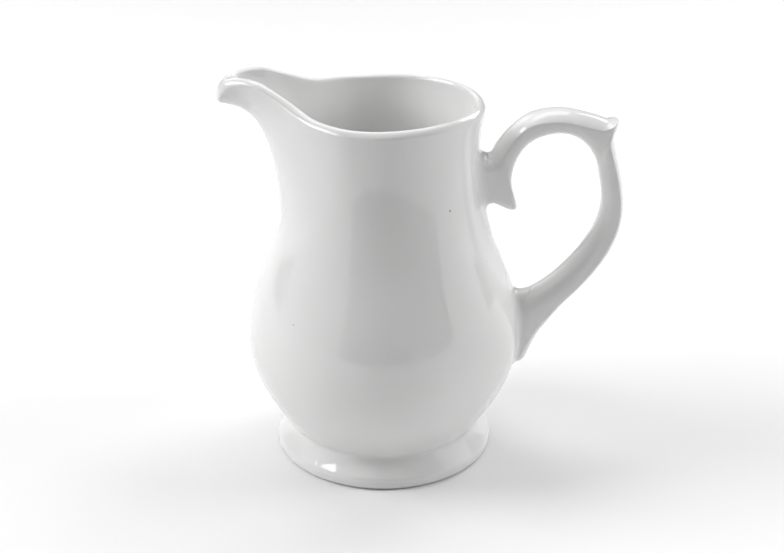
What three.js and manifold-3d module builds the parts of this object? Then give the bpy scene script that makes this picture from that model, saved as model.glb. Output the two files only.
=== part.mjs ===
// Porcelain cream jug: a slip-cast baluster vessel with a pulled spout, a pedestal foot and a scroll handle,
// joined by thin beds of luting slip. Millimetres, +Z up. The spout points along -X, the handle along +X,
// and the jug is the same on both sides of the plane y = 0.
import * as THREE from 'three';
import { mergeVertices } from 'three/addons/utils/BufferGeometryUtils.js';
import Module from 'manifold-3d';

const wasm = await Module();
wasm.setup();

// ---------- driving dimensions ----------
const WALL = 2.7;                 // thickness of the cast wall
const GAP = 0.3;                  // clearance between neighbouring pieces
const SLIP = 0.55;                // thickness of a bed of luting slip

const BASE_TOP = 8.0;             // height of the vessel's flat underside
const BASE_RADIUS = 26.3;         // radius of that underside
const FOOT_TOP = BASE_TOP - 2 * GAP - SLIP;

// Outside of the vessel where it is plainly round, as [radius, height] from the foot to the lip.
const PROFILE = [
  [27.5, 9], [33.65, 19], [36.8, 27], [37.8, 34], [37, 42], [35.25, 49], [30.15, 62], [27.95, 70],
  [26.45, 77.3], [25.75, 84.6], [25.85, 92], [26.95, 98.8],
];
const MOUTH_RADIUS = PROFILE.at(-1)[0];
const MOUTH_HEIGHT = PROFILE.at(-1)[1];

// Outer edge of one half of the spout's lip: [degrees round from the spout, x, y, z].
const LIP = [
  [0, -42.4, 0, 100.5], [5, -42.1, 2, 101.6], [10, -40.8, 3.8, 104.4], [15, -38.4, 5.2, 106.3],
  [20, -35.4, 6.8, 107.1], [25, -32.2, 8.5, 106.8], [30, -29.3, 10.2, 105.5], [38, -25.3, 13.1, 103.1],
  [46, -21.4, 16.5, 101], [54, -17.4, 19.9, 99.7], [62, -12.8, 23.1, 99.2],
];
// Shift of the rest of the rim from a level circle: [degrees round from the spout, y, z].
const RIM = [[76, -0.6, 0.1], [90, -0.5, 0.2], [115, -0.5, 0.5], [145, -0.3, 0.6], [180, 0, 0.4]];
const LIP_ROUNDING = [0.9, 2.8];  // fullness of the lip towards its outer and its inner edge
const LIP_STEPS = [0.12, 0.3, 0.5, 0.7, 0.87];

// Inner edge of the lip where the spout closes to a beak: [degrees round from the spout, x, y, z].
const BEAK = [
  [0, -38.6, 0, 106.9], [5, -38.4, 0.9, 107], [10, -37.8, 1.8, 107.1], [15, -36.5, 2.8, 107.2],
  [20, -34.3, 4.1, 107.2], [25, -31.2, 5.9, 106.8], [30, -28.2, 7.8, 105.5],
];
const BEAK_FADE = [38, 50];       // degrees at which the inner edge follows the wall again
const BEAK_DEPTH = 12;            // how far down the channel the beak narrows it
const NOSE_ANGLE = 18;            // half of the beak's blunt nose, degrees round
const NOSE_ROUNDING = [2.7, 5.1];
const NOSE_LEAN = new THREE.Vector3(-0.9, 0, 0.4);   // way the nose bulges above the inner edge

// How the spout grows out of the neck, by profile point: the share of the lip's shift that it has there,
// and the extra shift [x, z] of the keel under the spout.
const THROAT = new Map([
  [8, { share: 0.04, keel: [-1.45, 2.4] }],
  [9, { share: 0.18, keel: [-1.8, 4.5] }],
  [10, { share: 0.45, keel: [-2.3, 5.1] }],
]);
const KEEL_ANGLE = 62;            // degrees from the spout at which the keel has died away

// Inside floor of the vessel, as [radius, height] below the offset wall.
const FLOOR = [[27.2, 14.4], [24, 12.2], [18, 11], [9, 10.7]];
const FLOOR_START = 17;           // lowest height at which the inside follows the outside

// Foot: a flared ring round a recess, as [radius, height].
const FOOT = [
  [28.05, FOOT_TOP], [28.55, 6], [29.2, 5], [29.9, 4], [30.35, 3.3], [30.65, 2.5], [30.65, 1.3], [30.3, 0.3],
  [29.7, 0],
  [26.8, 0], [26.2, 0.7], [25.2, 3], [23.6, 4.8], [22.2, FOOT_TOP],
];
const FOOT_SLIP = [22.8, 26.4];   // inner and outer radius of the slip under the vessel

// Handle sections from the upper to the lower root. Crown is the middle of the outer face, edge its two
// corners, inner the side next to the fingers, all as [x, z]; half is the half width and crest says how
// flat (1) or peaked (3) the outer face is across.
const HANDLE = [
  { crown: [21.5, 87.4], edge: [21.5, 85.2], inner: [21.5, 72], half: 7.2, crest: 1.3 },
  { crown: [26.5, 86.2], edge: [26.8, 84.4], inner: [27.6, 72.5], half: 6, crest: 1.4 },
  { crown: [28.3, 86.2], edge: [28.9, 84.2], inner: [30.5, 72.2], half: 5.4, crest: 1.5 },
  { crown: [29.2, 87.4], edge: [30.2, 84.9], inner: [34, 70.6], half: 5.1, crest: 1.6 },
  { crown: [29.7, 88.5], edge: [30.9, 86], inner: [35.9, 70.9], half: 5, crest: 1.7 },
  { crown: [30.2, 89.3], edge: [31.5, 87], inner: [35.4, 74.2], half: 5, crest: 1.7 },
  { crown: [31, 90.4], edge: [32.3, 88.4], inner: [34.5, 77.6], half: 5, crest: 1.7 },
  { crown: [32.2, 92], edge: [33.6, 90.4], inner: [34.5, 81.2], half: 5, crest: 1.7 },
  { crown: [34.6, 94.4], edge: [35.8, 93.2], inner: [35.6, 85.2], half: 5, crest: 1.7 },
  { crown: [38.6, 97.3], edge: [39.2, 95.6], inner: [39, 89.9], half: 5, crest: 1.7 },
  { crown: [46.4, 98.9], edge: [46.2, 96.5], inner: [46.3, 92.4], half: 5, crest: 1.7 },
  { crown: [52.6, 97.9], edge: [52, 95.5], inner: [51.4, 91.2], half: 5, crest: 1.8 },
  { crown: [57.2, 96.6], edge: [56, 94.5], inner: [54.4, 88.6], half: 4.9, crest: 1.8 },
  { crown: [60, 95.8], edge: [58.4, 94.3], inner: [55.8, 86.6], half: 4.7, crest: 1.6 },
  { crown: [61.9, 95.8], edge: [60, 94.7], inner: [56.5, 85.4], half: 4.5, crest: 1.5 },
  { crown: [62, 95], edge: [60.3, 93.9], inner: [56.8, 84.6], half: 4.4, crest: 1.5 },
  { crown: [61.5, 93.4], edge: [60, 92.5], inner: [57.1, 83.8], half: 4.4, crest: 1.5 },
  { crown: [61.1, 91.2], edge: [59.6, 90.6], inner: [57.4, 82.3], half: 4.5, crest: 1.6 },
  { crown: [61.6, 88.2], edge: [60, 88.4], inner: [57.8, 80.4], half: 4.6, crest: 1.7 },
  { crown: [63, 83], edge: [61.5, 83.4], inner: [58.5, 77], half: 4.6, crest: 1.5 },
  { crown: [64.7, 74], edge: [63.3, 74], inner: [58.9, 72.5], half: 4.5, crest: 1.3 },
  { crown: [64.2, 65.6], edge: [62.8, 66], inner: [57.8, 66.8], half: 4.5, crest: 1.2 },
  { crown: [60.8, 56.8], edge: [59.4, 57.5], inner: [54, 59.6], half: 4.4, crest: 1.2 },
  { crown: [54.5, 48], edge: [53.3, 49], inner: [48.2, 52.6], half: 4.4, crest: 1.2 },
  { crown: [49.8, 42.9], edge: [48.6, 44], inner: [43.6, 48.6], half: 4.5, crest: 1.2 },
  { crown: [46.3, 38.3], edge: [45.1, 39.7], inner: [39.8, 46.4], half: 4.6, crest: 1.2 },
  { crown: [43.2, 33.7], edge: [42, 35.8], inner: [37.4, 45.4], half: 4.8, crest: 1.2 },
  { crown: [40.8, 28.3], edge: [39.7, 31.3], inner: [35.9, 45], half: 4.9, crest: 1.2 },
  { crown: [38.9, 25], edge: [37.8, 28], inner: [34.5, 44.6], half: 5, crest: 1.2 },
  { crown: [33, 24.4], edge: [33, 26.6], inner: [31.5, 44], half: 5, crest: 1.2 },
];

// Fineness of the facets.
const WALL_ROWS = 22;
const RING_SIDES = 56;
const HANDLE_STEPS = 64;
const HANDLE_SIDES = 16;

// ---------- curves ----------
const radians = THREE.MathUtils.degToRad;

// Natural cubic spline through vector points: bends evenly, with no jump in curvature at a point.
function spline(knots, points) {
  const last = knots.length - 1;
  const size = points[0].length;
  const bend = points.map(() => new Array(size).fill(0));
  const upper = new Array(last + 1).fill(0);
  for (let i = 1; i < last; i++) {
    const before = knots[i] - knots[i - 1];
    const after = knots[i + 1] - knots[i];
    const pivot = 2 * (before + after) - before * upper[i - 1];
    upper[i] = after / pivot;
    for (let k = 0; k < size; k++) {
      const slopes = (points[i + 1][k] - points[i][k]) / after - (points[i][k] - points[i - 1][k]) / before;
      bend[i][k] = (6 * slopes - before * bend[i - 1][k]) / pivot;
    }
  }
  for (let i = last - 1; i > 0; i--) {
    for (let k = 0; k < size; k++) bend[i][k] -= upper[i] * bend[i + 1][k];
  }
  return (at) => {
    let i = 0;
    while (i < last - 1 && at > knots[i + 1]) i++;
    const span = knots[i + 1] - knots[i];
    const a = (knots[i + 1] - at) / span;
    const b = 1 - a;
    const cubic = (w) => (w ** 3 - w) * span * span / 6;
    return points[i].map((p, k) =>
      a * p + b * points[i + 1][k] + cubic(a) * bend[i][k] + cubic(b) * bend[i + 1][k]);
  };
}

// Running length along a list of plane points.
function chords(points) {
  const lengths = [0];
  for (let i = 1; i < points.length; i++) {
    const [before, point] = [points[i - 1], points[i]];
    lengths.push(lengths[i - 1] + Math.hypot(point[0] - before[0], point[1] - before[1]));
  }
  return lengths;
}

// ---------- closed meshes ----------
// Skin over rings of points, closed at each end by a fan to a point.
function skin(rings, startPoint, endPoint) {
  const sides = rings[0].length;
  const points = [startPoint, ...rings.flat(), endPoint];
  const faces = [];
  const at = (row, side) => 1 + row * sides + (side % sides);
  for (let side = 0; side < sides; side++) {
    faces.push(0, at(0, side + 1), at(0, side));
    for (let row = 0; row + 1 < rings.length; row++) {
      faces.push(at(row, side), at(row, side + 1), at(row + 1, side + 1));
      faces.push(at(row, side), at(row + 1, side + 1), at(row + 1, side));
    }
    faces.push(points.length - 1, at(rings.length - 1, side), at(rings.length - 1, side + 1));
  }
  const geometry = new THREE.BufferGeometry();
  geometry.setAttribute('position', new THREE.Float32BufferAttribute(points.flatMap((p) => p.toArray()), 3));
  geometry.setIndex(faces);
  return geometry;
}

// Solid of revolution from a closed outline of [radius, height] given counter-clockwise.
function turned(outline) {
  const points = [...outline, outline[0]].map(([r, z]) => new THREE.Vector2(r, z));
  const geometry = new THREE.LatheGeometry(points, RING_SIDES);
  geometry.rotateX(Math.PI / 2);
  return geometry;
}

function toSolid(geometry) {
  const bare = geometry.clone();
  bare.deleteAttribute('normal');
  bare.deleteAttribute('uv');
  const merged = mergeVertices(bare, 1e-4);
  const vertProperties = new Float32Array(merged.attributes.position.array);
  const triVerts = new Uint32Array(merged.index.array);
  const solid = new wasm.Manifold(new wasm.Mesh({ numProp: 3, vertProperties, triVerts }));
  return solid;
}

function toGeometry(solid) {
  const mesh = solid.getMesh();
  const geometry = new THREE.BufferGeometry();
  geometry.setAttribute('position', new THREE.BufferAttribute(new Float32Array(mesh.vertProperties), 3));
  geometry.setIndex(new THREE.BufferAttribute(new Uint32Array(mesh.triVerts), 1));
  geometry.computeVertexNormals();
  return geometry;
}

// ---------- vessel ----------
const profileKnots = chords(PROFILE);
const wallRow = (row) => profileKnots.at(-1) * row / (WALL_ROWS - 1);

// Spline through [angle from the spout, [x, y, z]] pairs of one side, the same on the other side.
function bothSides(half) {
  const mirrored = half.slice(1).reverse().map(([angle, [x, y, z]]) => [-angle, [x, -y, z]]);
  const both = [...mirrored, ...half];
  return spline(both.map(([angle]) => angle), both.map(([, shift]) => shift));
}

// Shift of the lip from the plain round mouth, by angle from the spout.
function lipShift() {
  const half = LIP.map(([angle, x, y, z]) => [angle, [
    x + MOUTH_RADIUS * Math.cos(radians(angle)),
    y - MOUTH_RADIUS * Math.sin(radians(angle)),
    z - MOUTH_HEIGHT,
  ]]);
  for (const [angle, y, z] of RIM) half.push([angle, [0, y, z]]);
  return bothSides(half);
}

const shiftOfLip = lipShift();

// Upright curve up the outside of the vessel at one angle from the spout.
function meridian(angle) {
  const turn = radians(angle);
  const reach = Math.abs(angle);
  const shift = shiftOfLip(angle);
  const keel = Math.cos(Math.min(reach / KEEL_ANGLE, 1) * Math.PI / 2) ** 2;
  const points = PROFILE.map(([radius, height], index) => {
    const point = [-radius * Math.cos(turn), radius * Math.sin(turn), height];
    const top = index === PROFILE.length - 1;
    const { share, keel: [out, up] } = THROAT.get(index) ?? { share: top ? 1 : 0, keel: [0, 0] };
    return [
      point[0] + share * shift[0] + keel * out,
      point[1] + share * shift[1],
      point[2] + share * shift[2] + keel * up,
    ];
  });
  return spline(profileKnots, points);
}

// Angles of the upright columns: close together round the spout, wider apart elsewhere.
function columnAngles() {
  const half = [];
  for (let angle = 0; angle < 35; angle += 2.5) half.push(angle);
  for (let angle = 35; angle < 65; angle += 6) half.push(angle);
  for (let angle = 65; angle < 90; angle += 8.5) half.push(angle);
  for (let angle = 90; angle < 180; angle += 9) half.push(angle);
  return [...half, 180, ...half.slice(1).reverse().map((angle) => -angle)];
}

// Shifts, one for each column, that bring the inner edge of the lip to the beak's own edge.
function beakPulls(angles, innerEdge) {
  const half = BEAK.map(([angle, x, y, z]) => {
    const plain = innerEdge[angles.indexOf(angle)];
    return [angle, [x - plain.x, y - plain.y, z - plain.z]];
  });
  for (const angle of BEAK_FADE) half.push([angle, [0, 0, 0]]);
  const pull = bothSides(half);
  return angles.map((angle) =>
    new THREE.Vector3(...(Math.abs(angle) < BEAK_FADE.at(-1) ? pull(angle) : [0, 0, 0])));
}

// Rounded lip between its outer and its inner edge, swelling to a blunt nose at the beak.
function lipRing(t, angles, edge, innerEdge, rise) {
  return angles.map((angle, side) => {
    const nose = Math.cos(Math.min(Math.abs(angle) / NOSE_ANGLE, 1) * Math.PI / 2) ** 2;
    const outward = THREE.MathUtils.lerp(LIP_ROUNDING[0], NOSE_ROUNDING[0], nose);
    const inward = THREE.MathUtils.lerp(LIP_ROUNDING[1], NOSE_ROUNDING[1], nose);
    const lean = rise[side].clone().lerp(NOSE_LEAN, nose).normalize();
    const curve = new THREE.CubicBezierCurve3(
      edge[side],
      edge[side].clone().addScaledVector(rise[side], outward),
      innerEdge[side].clone().addScaledVector(lean, inward),
      innerEdge[side],
    );
    return curve.getPoint(t);
  });
}

function vesselGeometry() {
  const angles = columnAngles();
  const curves = angles.map(meridian);
  const outer = Array.from({ length: WALL_ROWS }, (_, row) =>
    curves.map((curve) => new THREE.Vector3(...curve(wallRow(row)))));
  const count = angles.length;
  const normalAt = (row, side) => {
    const below = outer[Math.max(row - 1, 0)][side];
    const above = outer[Math.min(row + 1, WALL_ROWS - 1)][side];
    const up = above.clone().sub(below);
    const round = outer[row][(side + count - 1) % count].clone().sub(outer[row][(side + 1) % count]);
    return round.cross(up).normalize();
  };
  const top = WALL_ROWS - 1;
  const offset = (row) => outer[row].map((point, side) =>
    point.clone().addScaledVector(normalAt(row, side), -WALL));
  const pulls = beakPulls(angles, offset(top));
  const inner = [];
  for (let row = top; row >= 0; row--) {
    const share = Math.max(1 - (wallRow(top) - wallRow(row)) / BEAK_DEPTH, 0) ** 2;
    const ring = offset(row).map((point, side) => point.addScaledVector(pulls[side], share));
    if (ring[count / 2].z > FLOOR_START) inner.push(ring);
  }
  const rise = outer[top].map((edge, side) => {
    const up = edge.clone().sub(outer[top - 1][side]);
    const normal = normalAt(top, side);
    return up.addScaledVector(normal, -up.dot(normal)).normalize();
  });
  const lip = LIP_STEPS.map((t) => lipRing(t, angles, outer[top], inner[0], rise));
  const floor = FLOOR.map(([radius, height]) => angles.map((angle) =>
    new THREE.Vector3(-radius * Math.cos(radians(angle)), radius * Math.sin(radians(angle)), height)));
  const base = angles.map(radians).map((turn) =>
    new THREE.Vector3(-BASE_RADIUS * Math.cos(turn), BASE_RADIUS * Math.sin(turn), BASE_TOP));
  const rings = [base, ...outer, ...lip, ...inner, ...floor].map((ring) => ring.reverse());
  return skin(rings, new THREE.Vector3(0, 0, BASE_TOP), new THREE.Vector3(0, 0, FLOOR.at(-1)[1]));
}

// ---------- foot ----------
const footGeometry = () => turned([...FOOT].reverse());

function footSlipGeometry() {
  const [inside, outside] = FOOT_SLIP;
  const low = FOOT_TOP + GAP;
  const high = low + SLIP;
  return turned([[inside, low], [outside, low], [outside, high], [inside, high]]);
}

// ---------- handle ----------
// Whole handle, running on into the wall at both roots.
function handleSweep() {
  const rows = HANDLE.map(({ crown, edge, inner, half, crest }) => [...crown, ...edge, ...inner, half, crest]);
  const crownLengths = chords(HANDLE.map(({ crown }) => crown));
  const innerLengths = chords(HANDLE.map(({ inner }) => inner));
  const knots = [0];
  for (let i = 1; i < HANDLE.length; i++) {
    const step = crownLengths[i] - crownLengths[i - 1] + innerLengths[i] - innerLengths[i - 1];
    knots.push(knots[i - 1] + Math.sqrt(step / 2));
  }
  const section = spline(knots, rows);
  const rings = [];
  for (let step = 0; step <= HANDLE_STEPS; step++) {
    const [cx, cz, ex, ez, ix, iz, half, crest] = section(knots.at(-1) * step / HANDLE_STEPS);
    const ring = [];
    for (let side = 0; side < HANDLE_SIDES; side++) {
      const turn = -2 * Math.PI * side / HANDLE_SIDES;
      const cos = Math.cos(turn);
      const sin = Math.sin(turn);
      const outward = Math.max(cos, 0) ** crest;
      const inward = Math.max(-cos, 0) ** 0.75;
      const y = half * (cos > 0 ? sin : Math.sign(sin) * Math.abs(sin) ** 0.85);
      const x = ex + (cx - ex) * outward + (ix - ex) * inward;
      const z = ez + (cz - ez) * outward + (iz - ez) * inward;
      ring.push(new THREE.Vector3(x, y, z));
    }
    rings.push(ring);
  }
  const middle = (ring) => ring.reduce((sum, p) => sum.add(p), new THREE.Vector3()).divideScalar(ring.length);
  return skin(rings, middle(rings[0]), middle(rings.at(-1)));
}

// Solid round body as wide as the vessel's outside plus a clearance.
function roundBody(clearance) {
  const side = meridian(180);
  const outline = [];
  for (let row = 0; row < WALL_ROWS; row++) {
    const [x, , z] = side(wallRow(row));
    outline.push([x + clearance, z]);
  }
  return toSolid(turned([[0, outline[0][1]], ...outline, [0, outline.at(-1)[1]]]));
}

const sweep = toSolid(handleSweep());
const handleSolid = sweep.subtract(roundBody(2 * GAP + SLIP));
const slipBeds = sweep.intersect(roundBody(GAP + SLIP)).subtract(roundBody(GAP));
const [upperSlip, lowerSlip] = slipBeds.decompose()
  .sort((a, b) => b.boundingBox().max[2] - a.boundingBox().max[2]);

// ---------- assembly ----------
const glazed = () => new THREE.MeshStandardMaterial({ color: 0xf4f4f2, roughness: 0.12, metalness: 0 });
const slip = () => new THREE.MeshStandardMaterial({ color: 0xeae7df, roughness: 0.75, metalness: 0 });

const jug = new THREE.Group();

function addPiece(name, geometry, material) {
  const mesh = new THREE.Mesh(geometry, material);
  mesh.name = name;
  jug.add(mesh);
}

addPiece('vessel', vesselGeometry(), glazed());
addPiece('foot', footGeometry(), glazed());
addPiece('foot_slip', footSlipGeometry(), slip());
addPiece('handle', toGeometry(handleSolid), glazed());
addPiece('upper_handle_slip', toGeometry(upperSlip), slip());
addPiece('lower_handle_slip', toGeometry(lowerSlip), slip());

// The origin is on the table, under the middle of the jug's overall length from spout to handle.
const extent = new THREE.Box3().setFromObject(jug);
jug.position.x = -(extent.min.x + extent.max.x) / 2;

const group = new THREE.Group();
group.add(jug);

export default group;
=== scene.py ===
"""Porcelain cream jug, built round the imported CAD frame.

The vessel, the foot, the handle and the beds of slip that join them are modelled finely here and stand for
the CAD nodes of the same names. Outlines are in millimetres about the vessel's own upright axis, with the
spout towards -X and the handle towards +X; place() moves them into the frame, in metres.
"""
import math

import bpy
import numpy as np
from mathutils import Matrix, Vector


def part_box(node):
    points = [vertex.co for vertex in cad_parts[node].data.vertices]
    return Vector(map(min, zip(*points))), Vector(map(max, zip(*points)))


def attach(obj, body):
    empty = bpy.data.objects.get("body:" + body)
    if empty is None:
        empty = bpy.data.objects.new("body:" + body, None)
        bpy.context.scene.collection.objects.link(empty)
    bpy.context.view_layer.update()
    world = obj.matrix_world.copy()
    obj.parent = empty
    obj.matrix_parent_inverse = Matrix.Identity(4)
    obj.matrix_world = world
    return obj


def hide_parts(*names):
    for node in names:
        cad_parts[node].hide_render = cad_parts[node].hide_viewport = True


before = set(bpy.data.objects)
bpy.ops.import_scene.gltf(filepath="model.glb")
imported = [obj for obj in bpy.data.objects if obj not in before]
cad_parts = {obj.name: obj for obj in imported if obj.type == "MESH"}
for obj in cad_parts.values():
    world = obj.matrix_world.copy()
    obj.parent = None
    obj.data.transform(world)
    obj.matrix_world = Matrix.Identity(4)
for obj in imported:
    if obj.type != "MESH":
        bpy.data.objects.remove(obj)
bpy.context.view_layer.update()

MM = 0.001                      # one millimetre in metres

# ---------------------------------------------------------------- vessel, mm
WALL = 2.7                      # thickness of the cast wall

# Outside of the wall from the foot to the lip, as radius and height.
PROFILE = [(27.5, 9), (33.65, 19), (36.8, 27), (37.75, 34), (37, 42), (35.25, 49), (30.15, 62), (27.95, 70),
           (26.45, 77.3), (25.75, 84.6), (25.85, 92), (26.95, 98.8)]
MOUTH_RADIUS, MOUTH_HEIGHT = PROFILE[-1]

# Outer edge of one half of the spout's lip: degrees round from the spout, x, y, z.
LIP = [(0, -42.4, 0, 100.5), (5, -42.1, 2, 101.6), (10, -40.8, 3.8, 104.4), (15, -38.4, 5.2, 106.3),
       (20, -35.4, 6.8, 107), (25, -32.2, 8.5, 106.7), (30, -29.3, 10.2, 105.5), (38, -25.3, 13.1, 103.1),
       (46, -21.4, 16.5, 101), (54, -17.4, 19.9, 99.7), (62, -12.8, 23.1, 99.2)]
# Shift of the rest of the rim from a level circle: degrees round from the spout, y, z.
RIM = [(76, -0.6, 0.1), (90, -0.5, 0.2), (115, -0.5, 0.5), (145, -0.3, 0.6), (180, 0, 0.4)]
LIP_ROUNDING = (0.9, 2.8)       # fullness of the lip towards its outer and its inner edge

# Inner edge of the lip where the spout closes to a beak: degrees round from the spout, x, y, z.
BEAK = [(0, -38.6, 0, 106.9), (5, -38.4, 0.9, 107), (10, -37.8, 1.8, 107.1), (15, -36.5, 2.8, 107.2),
        (20, -34.3, 4.1, 107.1), (25, -31.2, 5.9, 106.7), (30, -28.2, 7.8, 105.5)]
BEAK_FADE = (38, 50)            # degrees at which the inner edge follows the wall again
BEAK_DEPTH = 12                 # how far down the channel the beak narrows it
NOSE_ANGLE = 18                 # half of the beak's blunt nose, degrees round
NOSE_ROUNDING = (2.6, 5)
NOSE_LEAN = (-0.9, 0, 0.4)      # way the nose bulges above the inner edge

# How the spout grows out of the neck, by profile point: the share of the lip's shift, and the keel's x and z.
THROAT = {8: (0.04, -1.45, 2.4), 9: (0.18, -1.8, 4.5), 10: (0.45, -2.3, 5.1)}
KEEL_ANGLE = 62                 # half of the keel's width, degrees round

# Inside floor and outside base of the vessel, as radius and height.
FLOOR = [(27.2, 14.4), (24, 12.2), (18, 11), (9, 10.7)]
FLOOR_CENTRE = (0, 10.7)
FLOOR_START = 17                # height at which the floor takes over from the wall's inside
BASE = [(26.9, 8.35), (26.2, 8.0), (18, 8.1), (9, 8.2)]
BASE_CENTRE = (0, 8.2)

# ---------------------------------------------------------------- foot, mm
# Outside from the belly down to the standing ring, up the inside of the recess, and the top under the slip.
FOOT_OUTSIDE = [(27.3, 8.2), (27.65, 7.65), (28.05, 6.85), (28.55, 6), (29.2, 5), (29.9, 4), (30.35, 3.3),
                (30.6, 2.6), (30.65, 1.7), (30.6, 1), (30.35, 0.55), (29.9, 0.4), (29.2, 0.3), (28.7, 0)]
FOOT_INSIDE = [(26.8, 0), (26.3, 0.4), (25.9, 1.2), (25.1, 3.0), (23.8, 5.0), (22.2, 6.85)]
FOOT_TOP = [(23.5, 7.3), (25.4, 7.6), (26.6, 8.0)]

# Slip between the foot and the belly: its underside, the crease that shows, and its top.
SLIP_UNDERSIDE = [(22.8, 7.1), (27.2, 7.2)]
SLIP_CREASE = [(27.74, 7.45), (27.52, 8), (27.42, 8.6), (27.56, 9.2), (27.9, 9.75)]
SLIP_TOP = [(27.2, 9.3), (26.6, 9), (22.8, 8.3)]

# ---------------------------------------------------------------- handle, mm
# Sections from the upper to the lower root: crown x z, edge x z, inner x z, half width, crest power.
HANDLE = [
    (21.5, 87.4, 21.5, 85.2, 21.5, 72, 7.2, 1.3), (26.5, 86.2, 26.8, 84.4, 27.6, 72.5, 6, 1.4),
    (28.3, 86.2, 28.9, 84.2, 30.5, 72.2, 5.4, 1.5), (29.2, 87.4, 30.2, 84.9, 34, 70.6, 5.1, 1.6),
    (29.7, 88.5, 30.9, 86, 35.9, 70.9, 5, 1.7), (30.2, 89.3, 31.5, 87, 35.4, 74.2, 5, 1.7),
    (31, 90.4, 32.3, 88.4, 34.5, 77.6, 5, 1.7), (32.2, 92, 33.6, 90.4, 34.5, 81.2, 5, 1.7),
    (34.6, 94.4, 35.8, 93.2, 35.6, 85.2, 5, 1.7), (38.6, 97.3, 39.2, 95.6, 39, 89.9, 5, 1.7),
    (46.4, 98.9, 46.2, 96.5, 46.3, 92.4, 5, 1.7), (52.6, 97.9, 52, 95.5, 51.4, 91.2, 5, 1.8),
    (57.2, 96.6, 56, 94.5, 54.4, 88.6, 4.9, 1.8), (60, 95.8, 58.4, 94.3, 55.8, 86.6, 4.7, 1.6),
    (61.9, 95.8, 60, 94.7, 56.5, 85.4, 4.5, 1.5), (62, 95, 60.3, 93.9, 56.8, 84.6, 4.4, 1.5),
    (61.5, 93.4, 60, 92.5, 57.1, 83.8, 4.4, 1.5), (61.1, 91.2, 59.6, 90.6, 57.4, 82.3, 4.5, 1.6),
    (61.6, 88.2, 60, 88.4, 57.8, 80.4, 4.6, 1.7), (63, 83, 61.5, 83.4, 58.5, 77, 4.6, 1.5),
    (64.7, 74, 63.3, 74, 58.9, 72.5, 4.5, 1.3), (64.2, 65.6, 62.8, 66, 57.8, 66.8, 4.5, 1.2),
    (60.8, 56.8, 59.4, 57.5, 54, 59.6, 4.4, 1.2), (54.5, 48, 53.3, 49, 48.2, 52.6, 4.4, 1.2),
    (49.8, 42.9, 48.6, 44, 43.6, 48.6, 4.5, 1.2), (46.3, 38.3, 45.1, 39.7, 39.8, 46.4, 4.6, 1.2),
    (43.2, 33.7, 42, 35.8, 37.4, 45.4, 4.8, 1.2), (40.8, 28.3, 39.7, 31.3, 35.9, 45, 4.9, 1.2),
    (38.9, 25, 37.8, 28, 34.5, 44.6, 5, 1.2), (33, 24.4, 33, 26.6, 31.5, 44, 5, 1.2),
]
INNER_POWER = 0.75              # below 1, so the side towards the finger loop is flattened
SIDE_POWER = 0.85               # the same for its two edges
UPPER_ROOT_ROWS = 6             # rows of HANDLE, from each end, among which it meets the wall
LOWER_ROOT_ROWS = 9
ROOT_DEPTH = 1.3                # how far the handle is let into the wall

# Slip round each root of the handle.
FILLET = 3.0                    # how far it reaches along the handle and over the wall
FEATHER = 0.03                  # how far its thin edges sink under the two surfaces
SLIP_IN_WALL = 0.6              # how deep its hidden side lies in the wall
SLIP_IN_HANDLE = 0.8            # and in the handle

# ---------------------------------------------------------------- fineness
COLUMNS = 240                   # round the vessel
CROWDING = 0.45                 # how much closer together they are at the spout
WALL_ROWS = 160
LIP_STEPS = 24
FLOOR_STEPS = 60
BASE_STEPS = 30
RING_STEPS = 192                # round the foot
FOOT_OUTSIDE_STEPS = 60
FOOT_INSIDE_STEPS = 40
CREASE_STEPS = 16
HANDLE_ROWS = 420
HANDLE_SIDES = 72
FILLET_STEPS = 12
WALL_LINE_STEPS = 400           # for measuring the distance to the wall
CROSSING_STEPS = 6000           # for finding where the handle enters it
PROBE = 0.02                    # mm along the handle between two points that give its direction

# ---------------------------------------------------------------- glaze
IOR = 1.52
TONE_SCALE = 35.0               # scales are in features per metre
TONE_DARK = (0.80, 0.80, 0.795, 1)
TONE_LIGHT = (0.84, 0.84, 0.838, 1)
SPECK_SCALE = 95.0
SPECK_EDGE = (0.018, 0.035)     # radii between which a speck fades out, in cells
SPECK_CHOICE = 0.55             # a cell has a speck when its random number is above this
SPECK_COLOUR = (0.30, 0.28, 0.26, 1)
GLOSS_SCALE = 60.0
ROUGHNESS = (0.03, 0.055)
RIPPLE_SCALE = 45.0
RIPPLE_STRENGTH = 0.12
RIPPLE_DEPTH = 0.0004           # metres

# ---------------------------------------------------------------- camera and light
CAMERA_ASIDE = 2.35             # mm to the right of the vessel's axis
CAMERA_BACK = 352.6
CAMERA_HEIGHT = 212.67
CAMERA_PITCH = 24.74            # degrees below level
CAMERA_LENS = 64.33
CAMERA_SENSOR = 36

LIGHT_DISTANCE = 1.2            # metres
LIGHT_AIM = (0, 0, 0.05)        # point that the lights face, metres
SHINE_ONLY = {"lights": False}  # a panel that is only seen in the glaze
LIGHT_ONLY = {"reflects": False}
# Name, degrees round from the camera's side with positive to its right, degrees up, width and height in
# metres, watts, and what the panel leaves out.
PANELS = [
    ("left", -90, 36, (0.60, 0.60), 8.8, {}),
    ("foot_glint", -66, 31, (0.45, 0.3), 3.4, SHINE_ONLY),
    ("left_rear", -120, 64, (0.55, 0.5), 0.8, {}),
    ("right_rear", 135, 32, (0.50, 0.55), 4.5, {}),
    ("right", 90, 26, (0.5, 0.7), 6.3, LIGHT_ONLY),
    ("rear_top", 180, 64, (0.8, 0.5), 3.6, {}),
    ("rear_left", -150, 26, (0.55, 0.7), 1.9, {}),
    ("front_top", 0, 50, (0.6, 0.8), 0.9, {}),
    ("front_left", -40, 38, (0.9, 0.5), 1.5, {}),
    ("top", 0, 88, (1.2, 1.2), 2.4, {}),
    ("left_sheen", -66, 6, (1.5, 0.7), 2.8, SHINE_ONLY),
    ("right_sheen", 80, 6, (0.9, 0.7), 2.2, SHINE_ONLY),
]
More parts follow.
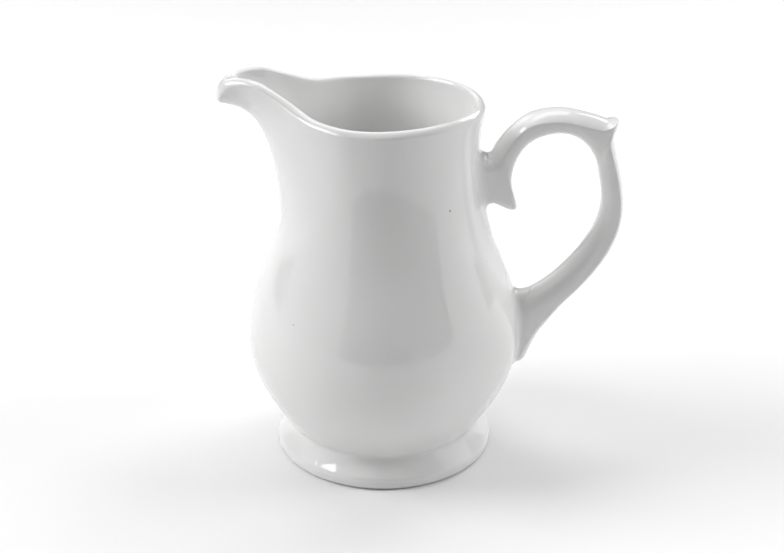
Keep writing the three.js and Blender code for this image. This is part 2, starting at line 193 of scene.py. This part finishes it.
BACKDROP = (0.95, 0.95, 0.95, 1)
TABLE_FRONT = 0.33              # metres from the jug's middle to the front edge of the pale table
TABLE_REACH = 3                 # metres to its back edge and to each side
TABLE_COLOUR = (0.86, 0.86, 0.86, 1)
TABLE_ROUGHNESS = 0.7

foot_low, foot_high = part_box("foot")
AXIS_X = (foot_low[0] + foot_high[0]) / 2     # the vessel's upright axis in the frame, metres


def place(points):
    """Points in mm about the vessel's axis, as metres in the frame."""
    moved = np.asarray(points, float) * MM
    moved[..., 0] += AXIS_X
    return moved


# ---------------------------------------------------------------- curves
def spline(knots, points):
    """Natural cubic spline through vector points, as a function of one number or an array of them."""
    knots = np.asarray(knots, float)
    points = np.asarray(points, float)
    count = len(knots)
    span = np.diff(knots)
    matrix = np.eye(count)
    right = np.zeros_like(points)
    for i in range(1, count - 1):
        matrix[i, i - 1:i + 2] = span[i - 1], 2 * (span[i - 1] + span[i]), span[i]
        right[i] = 6 * ((points[i + 1] - points[i]) / span[i] - (points[i] - points[i - 1]) / span[i - 1])
    bend = np.linalg.solve(matrix, right)

    def at(where):
        where = np.asarray(where, float)
        i = np.clip(np.searchsorted(knots, where, side="right") - 1, 0, count - 2)
        width = span[i][..., None]
        b = (where - knots[i])[..., None] / width
        a = 1 - b
        cubic = ((a ** 3 - a) * bend[i] + (b ** 3 - b) * bend[i + 1]) * width ** 2 / 6
        return a * points[i] + b * points[i + 1] + cubic

    return at


def chords(points):
    """Running length along a list of points."""
    steps = np.linalg.norm(np.diff(np.asarray(points, float), axis=0), axis=-1)
    return np.concatenate([[0], np.cumsum(steps)])


def smooth_outline(points, steps):
    """Evenly stepped smooth curve through a list of plane points."""
    lengths = chords(points)
    return spline(lengths, points)(np.linspace(0, lengths[-1], steps))


def unit(vectors):
    return vectors / np.linalg.norm(vectors, axis=-1, keepdims=True)


def even_angles(steps):
    return np.arange(steps) / steps * 2 * math.pi


def fade(degrees, limit):
    """1 at the spout, falling smoothly to 0 at that many degrees on both sides of it."""
    return np.cos(np.minimum(np.abs(degrees) / limit, 1) * math.pi / 2)[:, None] ** 2


# ---------------------------------------------------------------- meshes
def make_mesh(name, vertices, faces):
    """A smooth-shaded mesh object in the scene."""
    mesh = bpy.data.meshes.new(name)
    mesh.from_pydata([tuple(v) for v in vertices], [], faces)
    mesh.validate()
    mesh.update()
    mesh.shade_smooth()
    piece = bpy.data.objects.new(name, mesh)
    bpy.context.scene.collection.objects.link(piece)
    return piece


def skin(name, rings, start=None, end=None):
    """Closed skin over rings of points, with a fan to a point at each end, or joined end to end."""
    rings = np.asarray(rings)
    rows, sides, _ = rings.shape
    vertices = place(rings).reshape(-1, 3).tolist()
    faces = []
    joined = start is None
    for row in range(rows if joined else rows - 1):
        low = row * sides
        high = (row + 1) % rows * sides
        for side in range(sides):
            after = (side + 1) % sides
            faces.append((low + side, low + after, high + after, high + side))
    if not joined:
        first = len(vertices)
        vertices += [place(start).tolist(), place(end).tolist()]
        last = (rows - 1) * sides
        for side in range(sides):
            after = (side + 1) % sides
            faces.append((first, after, side))
            faces.append((first + 1, last + side, last + after))
    return make_mesh(name, vertices, faces)


def turn_rings(outline, angles):
    """Rings of points for a solid of revolution, one ring for each radius and height."""
    outline = np.asarray(outline, float)
    rings = np.empty((len(outline), len(angles), 3))
    rings[..., 0] = -outline[:, :1] * np.cos(angles)
    rings[..., 1] = -outline[:, :1] * np.sin(angles)
    rings[..., 2] = outline[:, 1:]
    return rings


# ---------------------------------------------------------------- vessel
def both_sides(knots, shifts):
    """Spline through shifts by angle from the spout, the same on both sides of it."""
    mirrored = [shift * (1, -1, 1) for shift in shifts[:0:-1]]
    return spline([-angle for angle in knots[:0:-1]] + knots, mirrored + shifts)


def lip_shift(degrees):
    """Shift of the lip from the plain round mouth, by angle from the spout."""
    knots, shifts = [], []
    for angle, x, y, z in LIP:
        turn = math.radians(angle)
        plain = (-MOUTH_RADIUS * math.cos(turn), MOUTH_RADIUS * math.sin(turn), MOUTH_HEIGHT)
        knots.append(angle)
        shifts.append(np.subtract((x, y, z), plain))
    for angle, y, z in RIM:
        knots.append(angle)
        shifts.append(np.array([0.0, y, z]))
    return both_sides(knots, shifts)(degrees)


def beak_pull(degrees, inner_edge):
    """Shift that brings the inner edge of the lip to the beak's own edge."""
    order = np.argsort(degrees)
    knots, shifts = [], []
    for angle, *target in BEAK:
        plain = [np.interp(angle, degrees[order], inner_edge[order, axis]) for axis in range(3)]
        knots.append(angle)
        shifts.append(np.subtract(target, plain))
    for angle in BEAK_FADE:
        knots.append(angle)
        shifts.append(np.zeros(3))
    near = np.abs(degrees) < BEAK_FADE[-1]
    reach = np.clip(degrees, -BEAK_FADE[-1], BEAK_FADE[-1])
    return np.where(near[:, None], both_sides(knots, shifts)(reach), 0)


def lip_rings(degrees, edge, inner_edge, rise):
    """Rounded lip between its outer and its inner edge, swelling to a blunt nose at the beak."""
    nose = fade(degrees, NOSE_ANGLE)
    pulls = zip(LIP_ROUNDING, NOSE_ROUNDING)
    outer_pull, inner_pull = [plain + (blunt - plain) * nose for plain, blunt in pulls]
    lean = unit(rise * (1 - nose) + np.array(NOSE_LEAN) * nose)
    rings = []
    for t in np.linspace(0, 1, LIP_STEPS)[1:-1]:
        s = 1 - t
        ring = s ** 3 * edge + 3 * s * s * t * (edge + outer_pull * rise)
        rings.append(ring + 3 * s * t * t * (inner_edge + inner_pull * lean) + t ** 3 * inner_edge)
    return rings


def column_angles():
    """Angles from the spout, in degrees, closer together round the spout."""
    even = even_angles(COLUMNS)
    crowded = even - CROWDING * np.sin(even)
    return (np.degrees(crowded) + 180) % 360 - 180


def wall_surface(degrees, rows):
    """Outside of the vessel as rings of points from the foot to the outer edge of the lip."""
    turn = np.radians(degrees)
    shift = lip_shift(degrees)
    keel = fade(degrees, KEEL_ANGLE)
    sections = []
    for index, (radius, height) in enumerate(PROFILE):
        level = np.full(len(turn), float(height))
        ring = np.stack([-radius * np.cos(turn), radius * np.sin(turn), level], -1)
        if index == len(PROFILE) - 1:
            ring = ring + shift
        elif index in THROAT:
            share, out, up = THROAT[index]
            ring = ring + share * shift + keel * np.array([out, 0, up])
        sections.append(ring.ravel())
    knots = chords(PROFILE)
    surface = spline(knots, sections)(np.linspace(0, knots[-1], rows))
    return surface.reshape(rows, len(degrees), 3)


def outward_normals(rings):
    """Unit normals of rings that close on themselves, pointing out of the vessel."""
    along = np.gradient(rings, axis=0)
    around = np.roll(rings, -1, axis=1) - np.roll(rings, 1, axis=1)
    return unit(np.cross(along, around))


def build_vessel():
    """Base, outside, lip, inside and floor of the vessel, as one closed skin."""
    degrees = column_angles()
    outer = wall_surface(degrees, WALL_ROWS)
    normals = outward_normals(outer)
    edge, edge_normal = outer[-1], normals[-1]
    rise = edge - outer[-2]
    rise = unit(rise - (rise * edge_normal).sum(-1, keepdims=True) * edge_normal)

    inner = outer - WALL * normals
    below = (WALL_ROWS - 1 - np.arange(WALL_ROWS)) * chords(PROFILE)[-1] / (WALL_ROWS - 1)
    share = np.maximum(1 - below / BEAK_DEPTH, 0)[:, None, None] ** 2
    inner = (inner + share * beak_pull(degrees, inner[-1]))[::-1]
    lip = lip_rings(degrees, edge, inner[0], rise)

    back = len(degrees) // 2
    inner = inner[inner[:, back, 2] > FLOOR_START]
    last_radius = np.hypot(*inner[-1, back, :2])
    last_height = inner[-1, back, 2]
    floor = smooth_outline([(last_radius, last_height)] + FLOOR + [FLOOR_CENTRE], FLOOR_STEPS)[1:-1]
    base = smooth_outline(BASE + [BASE_CENTRE], BASE_STEPS)[-2::-1]
    turn = np.radians(-degrees)
    rings = np.concatenate([turn_rings(base, turn), outer, lip, inner, turn_rings(floor, turn)])
    return skin("vessel_porcelain", rings[:, ::-1], (0, *BASE_CENTRE), (0, *FLOOR_CENTRE))


# ---------------------------------------------------------------- foot
def build_foot():
    outside = smooth_outline(FOOT_OUTSIDE, FOOT_OUTSIDE_STEPS)
    inside = smooth_outline(FOOT_INSIDE, FOOT_INSIDE_STEPS)
    outline = np.concatenate([outside, inside, FOOT_TOP])
    return skin("foot_porcelain", turn_rings(outline, even_angles(RING_STEPS)))


def build_foot_slip():
    """Slip between the foot and the belly, sponged to a soft crease outside."""
    crease = smooth_outline(SLIP_CREASE, CREASE_STEPS)
    outline = np.concatenate([SLIP_UNDERSIDE, crease, SLIP_TOP])
    return skin("foot_slip_porcelain", turn_rings(outline[::-1], even_angles(RING_STEPS)))


# ---------------------------------------------------------------- handle
handle_rows = np.array(HANDLE, float)
handle_steps = (np.diff(chords(handle_rows[:, 0:2])) + np.diff(chords(handle_rows[:, 4:6]))) / 2
handle_knots = np.concatenate([[0], np.cumsum(np.sqrt(handle_steps))])
handle_section = spline(handle_knots, handle_rows)

wall_line = wall_surface(np.array([180.0]), WALL_LINE_STEPS)[:, 0, [0, 2]]     # the wall behind, as x and z


def handle_surface(where, turn):
    """Points of the handle's sides, by place along it and angle round it."""
    row = handle_section(where)
    cos, sin = np.cos(turn), np.sin(turn)
    outward = np.maximum(cos, 0) ** row[..., 7]
    inward = np.maximum(-cos, 0) ** INNER_POWER
    x = row[..., 2] + (row[..., 0] - row[..., 2]) * outward + (row[..., 4] - row[..., 2]) * inward
    z = row[..., 3] + (row[..., 1] - row[..., 3]) * outward + (row[..., 5] - row[..., 3]) * inward
    rounded = np.sign(sin) * np.abs(sin) ** SIDE_POWER
    y = row[..., 6] * np.where(cos > 0, sin, rounded)
    return np.stack([x, y, z], -1)


def wall_slope(points):
    return np.interp(points[..., 2], wall_line[:, 1], np.gradient(wall_line[:, 0], wall_line[:, 1]))


def wall_distance(points):
    """Distance outside the round wall."""
    radius = np.interp(points[..., 2], wall_line[:, 1], wall_line[:, 0])
    return (np.hypot(points[..., 0], points[..., 1]) - radius) / np.sqrt(1 + wall_slope(points) ** 2)


def wall_normal(points):
    """Outward normal of the round wall nearest to points."""
    radius = np.hypot(points[..., 0], points[..., 1])
    return unit(np.stack([points[..., 0] / radius, points[..., 1] / radius, -wall_slope(points)], -1))


def root_crossings(turn, depth, upper):
    """Where each side line of the handle is that deep in the wall, at the upper or the lower root."""
    fine = np.linspace(0, handle_knots[-1], CROSSING_STEPS)
    if upper:
        fine = fine[fine < handle_knots[UPPER_ROOT_ROWS]]
    else:
        fine = fine[fine > handle_knots[-LOWER_ROOT_ROWS]]
    places = []
    for angle in turn:
        inside = wall_distance(handle_surface(fine, np.full(len(fine), angle))) < -depth
        index = np.nonzero(inside)[0]
        places.append(fine[index[-1]] if upper else fine[index[0]])
    return np.array(places)


def build_handle():
    turn = -even_angles(HANDLE_SIDES)
    start = root_crossings(turn, ROOT_DEPTH, True)
    stop = root_crossings(turn, ROOT_DEPTH, False)
    share = np.linspace(0, 1, HANDLE_ROWS)[:, None]
    where = start + (stop - start) * share
    rings = handle_surface(where, np.broadcast_to(turn, where.shape))
    return skin("handle_porcelain", rings, rings[0].mean(0), rings[-1].mean(0))


def build_handle_slip(name, upper):
    """Slip round one root, sponged into a hollow curve from the handle's side to the wall."""
    turn = -even_angles(HANDLE_SIDES)
    root = root_crossings(turn, 0.0, upper)
    corner = handle_surface(root, turn)
    outward = 1 if upper else -1
    ahead = handle_surface(root + outward * PROBE, turn)
    along = unit(ahead - corner)
    around = np.roll(corner, -1, axis=0) - np.roll(corner, 1, axis=0)
    side = unit(np.cross(along, around))
    middle = corner.mean(0)
    side *= np.sign(((corner - middle) * side).sum(-1, keepdims=True))

    wall = wall_normal(corner)
    spread = unit(side - (side * wall).sum(-1, keepdims=True) * wall)
    pace = np.linalg.norm(ahead - corner, axis=-1) / PROBE
    on_handle = handle_surface(root + outward * FILLET / pace, turn)
    on_wall = corner + FILLET * spread
    on_wall -= wall_distance(on_wall)[:, None] * wall_normal(on_wall)

    loop = []
    for share in np.linspace(0, 1, FILLET_STEPS):
        loop.append((1 - share) ** 2 * on_handle + 2 * share * (1 - share) * corner + share ** 2 * on_wall)
    loop[0] = loop[0] - FEATHER * side
    loop[-1] = loop[-1] - FEATHER * wall_normal(on_wall)
    loop.append(on_wall - SLIP_IN_WALL * wall_normal(on_wall))
    loop.append(corner - SLIP_IN_WALL * wall - SLIP_IN_HANDLE * side)
    loop.append(on_handle - SLIP_IN_HANDLE * side)
    rings = np.array(loop)
    if not upper:
        rings = rings[::-1]
    return skin(name, rings)


# ---------------------------------------------------------------- materials
def link(tree, start, end):
    tree.links.new(start, end)


def add(tree, kind, **settings):
    """A node whose settings are input values where it has such an input, and properties otherwise."""
    node = tree.nodes.new(kind)
    for key, value in settings.items():
        if key in node.inputs:
            node.inputs[key].default_value = value
        else:
            setattr(node, key, value)
    return node


def add_noise(tree, where, scale, detail):
    """The value of a noise texture over the surface."""
    noise = add(tree, "ShaderNodeTexNoise", Scale=scale, Detail=detail)
    link(tree, where, noise.inputs["Vector"])
    return noise.outputs["Fac"]


def add_range(tree, value, source, target):
    """A value carried from one range to another."""
    change = add(tree, "ShaderNodeMapRange")
    change.inputs["From Min"].default_value, change.inputs["From Max"].default_value = source
    change.inputs["To Min"].default_value, change.inputs["To Max"].default_value = target
    link(tree, value, change.inputs["Value"])
    return change.outputs["Result"]


def start_material(name):
    material = bpy.data.materials.new(name)
    material.use_nodes = True
    tree = material.node_tree
    return material, tree, tree.nodes["Principled BSDF"]


def add_specks(tree, where):
    """1 in the middle of a few scattered specks and 0 elsewhere."""
    cells = add(tree, "ShaderNodeTexVoronoi", Scale=SPECK_SCALE, Randomness=1.0)
    link(tree, where, cells.inputs["Vector"])
    speck = add_range(tree, cells.outputs["Distance"], SPECK_EDGE, (1.0, 0.0))
    split = add(tree, "ShaderNodeSeparateColor")
    link(tree, cells.outputs["Color"], split.inputs["Color"])
    chosen = add(tree, "ShaderNodeMath", operation="GREATER_THAN")
    chosen.inputs[1].default_value = SPECK_CHOICE
    link(tree, split.outputs["Red"], chosen.inputs[0])
    both = add(tree, "ShaderNodeMath", operation="MULTIPLY")
    link(tree, speck, both.inputs[0])
    link(tree, chosen.outputs["Value"], both.inputs[1])
    return both.outputs["Value"]


def glazed_porcelain():
    """White porcelain under a clear glaze that pools and ripples very slightly, with a few fine specks."""
    material, tree, shader = start_material("glazed_porcelain")
    shader.inputs["IOR"].default_value = IOR
    where = add(tree, "ShaderNodeTexCoord").outputs["Object"]

    tone = add(tree, "ShaderNodeValToRGB")
    tone.color_ramp.elements[0].color = TONE_DARK
    tone.color_ramp.elements[1].color = TONE_LIGHT
    link(tree, add_noise(tree, where, TONE_SCALE, 2.0), tone.inputs["Fac"])
    mix = add(tree, "ShaderNodeMix", data_type="RGBA")
    mix.inputs["B"].default_value = SPECK_COLOUR
    link(tree, add_specks(tree, where), mix.inputs["Factor"])
    link(tree, tone.outputs["Color"], mix.inputs["A"])
    link(tree, mix.outputs["Result"], shader.inputs["Base Color"])

    gloss = add_range(tree, add_noise(tree, where, GLOSS_SCALE, 3.0), (0.0, 1.0), ROUGHNESS)
    link(tree, gloss, shader.inputs["Roughness"])

    bump = add(tree, "ShaderNodeBump", Strength=RIPPLE_STRENGTH, Distance=RIPPLE_DEPTH)
    link(tree, add_noise(tree, where, RIPPLE_SCALE, 1.0), bump.inputs["Height"])
    link(tree, bump.outputs["Normal"], shader.inputs["Normal"])
    return material


# ---------------------------------------------------------------- stage
def add_camera():
    data = bpy.data.cameras.new("camera")
    data.lens = CAMERA_LENS
    data.sensor_width = CAMERA_SENSOR
    camera = bpy.data.objects.new("camera", data)
    camera.location = place((CAMERA_ASIDE, -CAMERA_BACK, CAMERA_HEIGHT))
    camera.rotation_euler = (math.radians(90 - CAMERA_PITCH), 0, 0)
    bpy.context.scene.collection.objects.link(camera)
    bpy.context.scene.camera = camera


def add_panel(name, azimuth, elevation, size, power, lights=True, reflects=True):
    """Soft rectangular light aimed at the jug, which may only light it or only be seen in its glaze."""
    turn, rise = math.radians(azimuth), math.radians(elevation)
    towards = Vector((math.sin(turn) * math.cos(rise), -math.cos(turn) * math.cos(rise), math.sin(rise)))
    data = bpy.data.lights.new(name, "AREA")
    data.shape = "RECTANGLE"
    data.size, data.size_y = size
    data.energy = power
    light = bpy.data.objects.new(name, data)
    light.location = towards * LIGHT_DISTANCE + Vector(LIGHT_AIM)
    light.rotation_euler = (-towards).to_track_quat("-Z", "Y").to_euler()
    light.visible_camera = False
    light.visible_diffuse = lights
    light.visible_glossy = reflects
    bpy.context.scene.collection.objects.link(light)


def add_floor():
    """The pale table. Its front edge is out of the picture but shows in the glaze."""
    left, right, front, back = -TABLE_REACH, TABLE_REACH, -TABLE_FRONT, TABLE_REACH
    corners = [(left, front, 0), (right, front, 0), (right, back, 0), (left, back, 0)]
    floor = make_mesh("floor", corners, [(0, 1, 2, 3)])
    material, tree, shader = start_material("pale_floor")
    shader.inputs["Base Color"].default_value = TABLE_COLOUR
    shader.inputs["Roughness"].default_value = TABLE_ROUGHNESS
    floor.data.materials.append(material)


def light_scene():
    """A backdrop that only the camera sees, and the panels."""
    scene = bpy.context.scene
    scene.view_settings.view_transform = "Standard"
    world = bpy.data.worlds.new("studio")
    world.use_nodes = True
    paper = world.node_tree.nodes["Background"]
    paper.inputs["Color"].default_value = BACKDROP
    ray = add(world.node_tree, "ShaderNodeLightPath")
    link(world.node_tree, ray.outputs["Is Camera Ray"], paper.inputs["Strength"])
    scene.world = world
    for name, azimuth, elevation, size, power, left_out in PANELS:
        add_panel(name, azimuth, elevation, size, power, **left_out)


# ---------------------------------------------------------------- assembly
add_camera()
glaze = glazed_porcelain()
pieces = {
    "vessel": build_vessel(),
    "foot": build_foot(),
    "foot_slip": build_foot_slip(),
    "handle": build_handle(),
    "upper_handle_slip": build_handle_slip("upper_handle_slip_porcelain", True),
    "lower_handle_slip": build_handle_slip("lower_handle_slip_porcelain", False),
}
for node, piece in pieces.items():
    piece.data.materials.append(glaze)
    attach(piece, "root")
    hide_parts(node)
add_floor()
light_scene()
